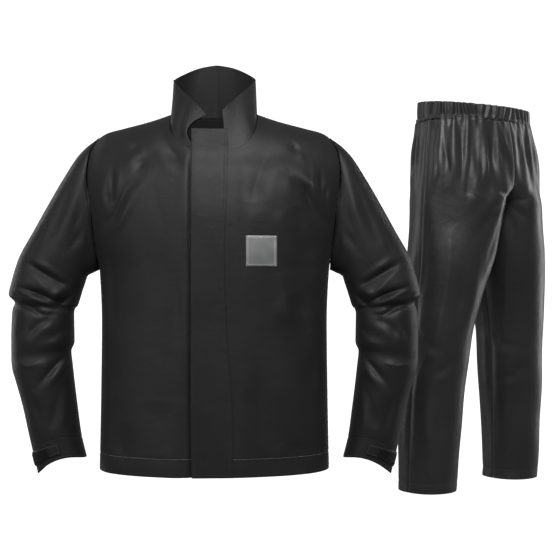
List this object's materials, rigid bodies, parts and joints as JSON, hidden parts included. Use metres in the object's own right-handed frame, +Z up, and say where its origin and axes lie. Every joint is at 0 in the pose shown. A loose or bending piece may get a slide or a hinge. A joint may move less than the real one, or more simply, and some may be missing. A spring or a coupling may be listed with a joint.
{
  "type": "rain suit of jacket and trousers",
  "caption": "Black coated rain suit: stand-collar jacket with a storm flap and cuff tabs, and trousers with a gathered elastic waist, both hollow as worn.",
  "frame": {"origin": "middle of the jacket's neck opening, level with the side-neck points, where the wearer's shoulders and neck carry it", "axes": "+Z up, the jacket faces -Y, +X to the wearer's left; the trousers stand beside and behind, turned 40 degrees"},
  "size_m": [1.251, 0.6484, 0.9782],
  "materials": {
    "jacket_cloth": "black coated woven nylon, matt satin",
    "trouser_cloth": "charcoal coated woven nylon, semi-gloss",
    "hook_nylon": "black nylon hook tape",
    "label_vinyl": "silvery reflective patch under clear vinyl"
  },
  "bodies": {
    "root": {"jacket_front_right": "jacket_cloth", "jacket_front_left": "jacket_cloth", "jacket_back": "jacket_cloth", "collar": "jacket_cloth", "sleeve_right": "jacket_cloth", "sleeve_left": "jacket_cloth", "storm_flap": "jacket_cloth", "underlap": "jacket_cloth", "cuff_tab_right": "jacket_cloth", "cuff_tab_left": "jacket_cloth", "hook_patch_right": "hook_nylon", "hook_patch_left": "hook_nylon", "chest_label": "label_vinyl", "trouser_waistband": "trouser_cloth", "trouser_front_right": "trouser_cloth", "trouser_front_left": "trouser_cloth", "trouser_back_right": "trouser_cloth", "trouser_back_left": "trouser_cloth"}
  },
  "joints": []
}
